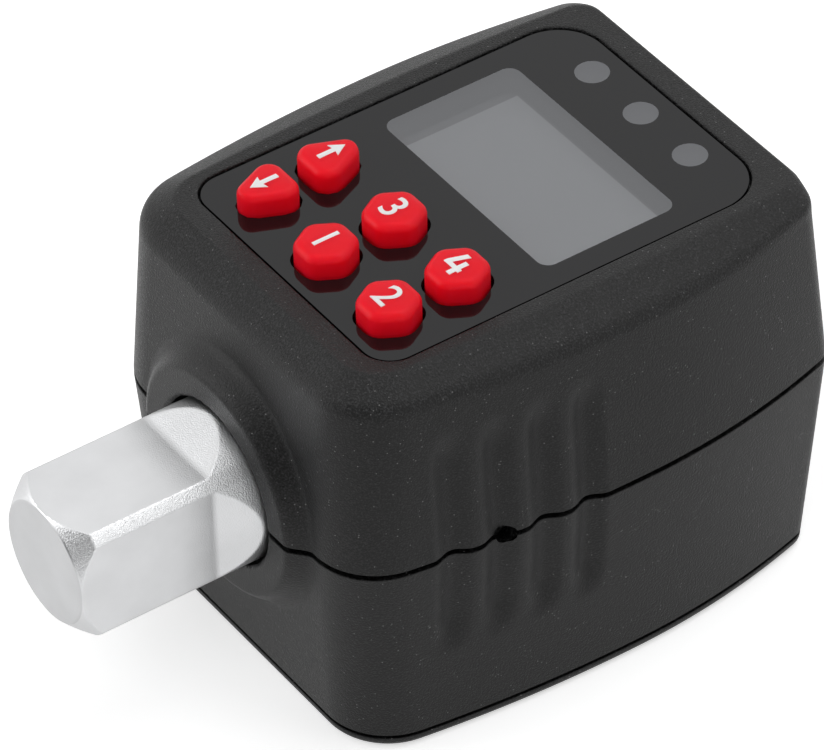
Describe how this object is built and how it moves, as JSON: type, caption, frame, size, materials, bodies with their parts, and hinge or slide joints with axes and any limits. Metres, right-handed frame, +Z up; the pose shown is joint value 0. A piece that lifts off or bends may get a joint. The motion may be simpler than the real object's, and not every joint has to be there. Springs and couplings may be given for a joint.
{
  "type": "digital torque adapter",
  "caption": "Hand-tool torque adapter: a steel square drive shaft with strain gauges runs through a two-part black housing with a keypad, a display and a battery bay.",
  "frame": {"origin": "on the drive axis, where the shaft leaves the housing's front face at the parting line", "axes": "+X to the right of someone reading the display, +Y along the shaft from the male square to the female square, +Z up out of the panel"},
  "size_m": [0.047, 0.0775, 0.0466],
  "materials": {
    "housing": "fine moulded texture, charcoal black",
    "screws": "bright zinc",
    "inserts": "turned and knurled",
    "gold_pads": "gold flash",
    "seal_rubber": "smooth",
    "shaft_steel": "satin chrome plate",
    "gauge_foil": "polyimide film",
    "wire_red": "insulation",
    "wire_black": "insulation",
    "ball_steel": "polished",
    "spring_steel": "drawn wire",
    "cell_jacket": "shrink sleeve",
    "clear_lens": "polished clear sheet",
    "panel_black": "printed black",
    "grey_film": "grey tint",
    "display_glass": "reflective display",
    "black_plastic": "moulded",
    "white_plastic": "moulded",
    "contact_rubber": "layered strip",
    "pipe_clear": "moulded clear",
    "key_silicone": "satin silicone, red",
    "carbon_pill": "carbon filled",
    "board_green": "solder mask",
    "part_ceramic": "ceramic"
  },
  "bodies": {
    "adapter": {"upper_housing": "housing", "lower_housing": "housing", "housing_screws": "screws", "board_screws": "screws", "housing_inserts": "inserts", "cover_inserts": "inserts", "contact_pads": "gold_pads", "front_seal": "seal_rubber", "rear_seal": "seal_rubber", "torque_shaft": "shaft_steel", "locating_pins": "screws", "strain_gauges": "gauge_foil", "gauge_wires": "wire_red", "battery_wires": "wire_black", "detent_spring": "spring_steel", "battery_springs": "spring_steel", "battery_plates": "spring_steel", "battery_left": "cell_jacket", "battery_right": "cell_jacket", "panel_lens": "clear_lens", "panel_mask": "panel_black", "tint_film": "grey_film", "display_glass": "display_glass", "display_holder": "black_plastic", "display_backlight": "white_plastic", "display_strips": "contact_rubber", "light_pipes": "pipe_clear", "status_lamps": "white_plastic", "keypad_mat": "key_silicone", "main_board": "board_green", "controller_chip": "black_plastic", "board_parts": "part_ceramic", "gauge_connector": "white_plastic", "battery_connector": "white_plastic", "buzzer": "black_plastic"},
    "battery_cover": {"battery_cover": "housing", "cover_gasket": "seal_rubber", "cover_screws": "screws"},
    "detent_ball": {"detent_ball": "ball_steel"},
    "up_key": {"up_key": "key_silicone", "up_key_pill": "carbon_pill"},
    "down_key": {"down_key": "key_silicone", "down_key_pill": "carbon_pill"},
    "peak_key": {"peak_key": "key_silicone", "peak_key_pill": "carbon_pill"},
    "mode_key": {"mode_key": "key_silicone", "mode_key_pill": "carbon_pill"},
    "unit_key": {"unit_key": "key_silicone", "unit_key_pill": "carbon_pill"},
    "clear_key": {"clear_key": "key_silicone", "clear_key_pill": "carbon_pill"}
  },
  "joints": [
    {"name": "battery_cover_off", "type": "slide", "parent": "adapter", "child": "battery_cover", "axis": [0, 0, -1], "range_m": [0, 0.02]},
    {"name": "detent_ball_press", "type": "slide", "parent": "adapter", "child": "detent_ball", "axis": [0, 0, 1], "range_m": [0, 0.0009], "stiffness_N_per_m": 4000, "springref_m": -0.001, "deforming": ["detent_spring"]},
    {"name": "up_key_press", "type": "slide", "parent": "adapter", "child": "up_key", "axis": [0, 0, -1], "range_m": [0, 0.001], "stiffness_N_per_m": 1500, "springref_m": -0.0002},
    {"name": "down_key_press", "type": "slide", "parent": "adapter", "child": "down_key", "axis": [0, 0, -1], "range_m": [0, 0.001], "stiffness_N_per_m": 1500, "springref_m": -0.0002},
    {"name": "peak_key_press", "type": "slide", "parent": "adapter", "child": "peak_key", "axis": [0, 0, -1], "range_m": [0, 0.001], "stiffness_N_per_m": 1500, "springref_m": -0.0002},
    {"name": "mode_key_press", "type": "slide", "parent": "adapter", "child": "mode_key", "axis": [0, 0, -1], "range_m": [0, 0.001], "stiffness_N_per_m": 1500, "springref_m": -0.0002},
    {"name": "unit_key_press", "type": "slide", "parent": "adapter", "child": "unit_key", "axis": [0, 0, -1], "range_m": [0, 0.001], "stiffness_N_per_m": 1500, "springref_m": -0.0002},
    {"name": "clear_key_press", "type": "slide", "parent": "adapter", "child": "clear_key", "axis": [0, 0, -1], "range_m": [0, 0.001], "stiffness_N_per_m": 1500, "springref_m": -0.0002}
  ]
}
